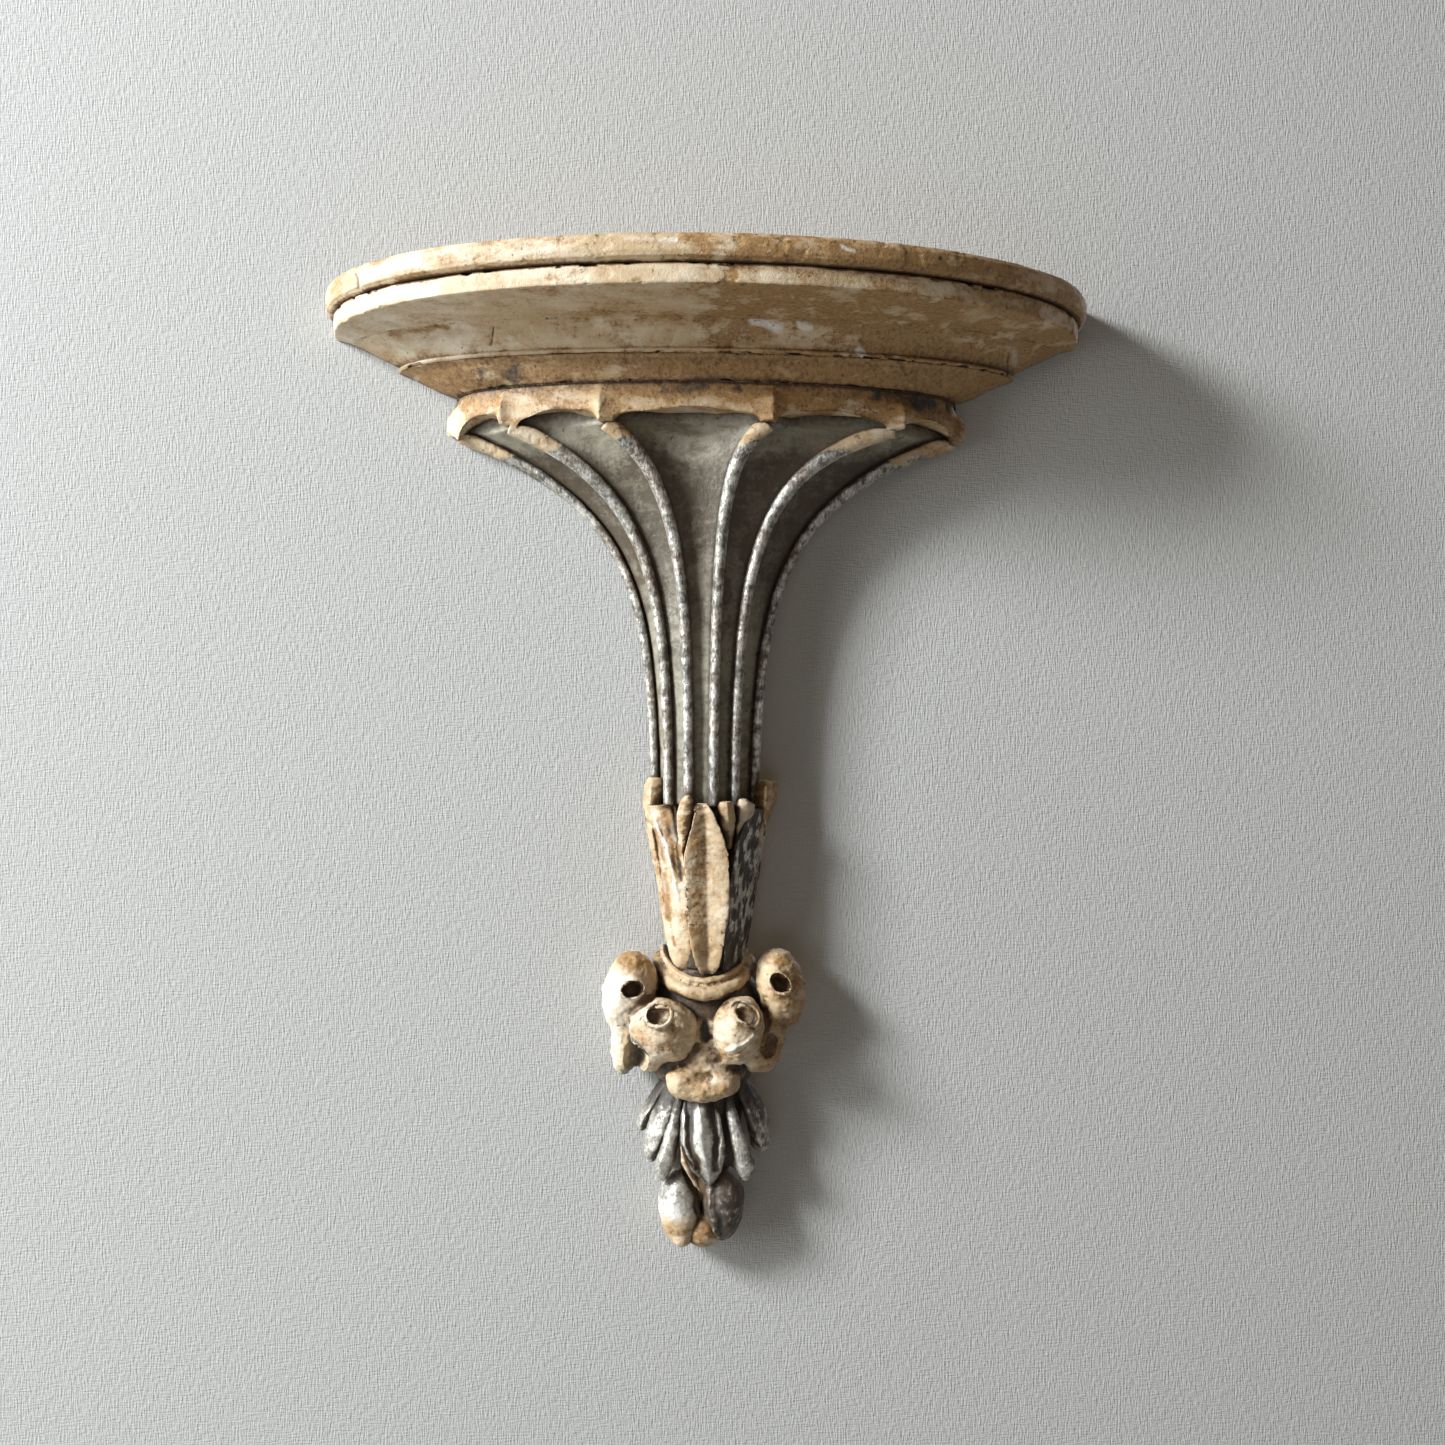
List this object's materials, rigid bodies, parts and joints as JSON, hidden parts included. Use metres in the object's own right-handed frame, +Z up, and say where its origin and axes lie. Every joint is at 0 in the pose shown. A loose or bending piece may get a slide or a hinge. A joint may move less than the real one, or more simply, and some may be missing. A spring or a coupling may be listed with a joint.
{
  "type": "wall shelf",
  "caption": "Half-oval wall bracket shelf: a moulded top on a flared fluted corbel with a carved drop of leaves, fruit and a bud, hung on keyhole plates.",
  "frame": {"origin": "on the wall plane, midway between the centres of the two keyhole plates' round holes", "axes": "+X to the right seen from the front, +Y into the wall, +Z up"},
  "size_m": [0.3, 0.086, 0.3727],
  "materials": {
    "gesso": "worn cream gesso with brown stain over carved wood",
    "flutes": "dull grey-green priming over carved wood",
    "silver_leaf": "rubbed silver leaf over carved wood",
    "bare_wood": "unfinished",
    "steel": "plain"
  },
  "bodies": {
    "root": {"back_cleat": "bare_wood", "bed_moulding": "gesso", "bud_core": "silver_leaf", "calyx_core": "silver_leaf", "chin_lobe": "silver_leaf", "corbel_screws": "steel", "cove_moulding": "gesso", "finial_dowel": "bare_wood", "fluted_core": "flutes", "front_leaf": "silver_leaf", "front_sprig": "silver_leaf", "fruit_core": "silver_leaf", "hanger_plate_left": "steel", "hanger_plate_right": "steel", "hanger_screws": "steel", "inner_left_fruit": "silver_leaf", "inner_right_fruit": "silver_leaf", "left_husk": "silver_leaf", "left_leaf": "silver_leaf", "left_petal": "silver_leaf", "left_side_leaf": "silver_leaf", "left_sprig": "silver_leaf", "neck_ring": "silver_leaf", "outer_left_fruit": "silver_leaf", "outer_right_fruit": "silver_leaf", "rib_1": "silver_leaf", "rib_2": "silver_leaf", "rib_3": "silver_leaf", "rib_4": "silver_leaf", "rib_5": "silver_leaf", "rib_6": "silver_leaf", "right_husk": "silver_leaf", "right_leaf": "silver_leaf", "right_petal": "silver_leaf", "right_side_leaf": "silver_leaf", "right_sprig": "silver_leaf", "scalloped_collar": "gesso", "stem_dowel": "bare_wood", "top_board": "gesso", "tuft_core": "silver_leaf", "tuft_front_leaf": "silver_leaf", "tuft_left_back_leaf": "silver_leaf", "tuft_left_leaf": "silver_leaf", "tuft_left_side_leaf": "silver_leaf", "tuft_right_leaf": "silver_leaf", "tuft_right_side_leaf": "silver_leaf", "tuft_sprig": "silver_leaf", "upper_moulding": "gesso"}
  },
  "joints": []
}
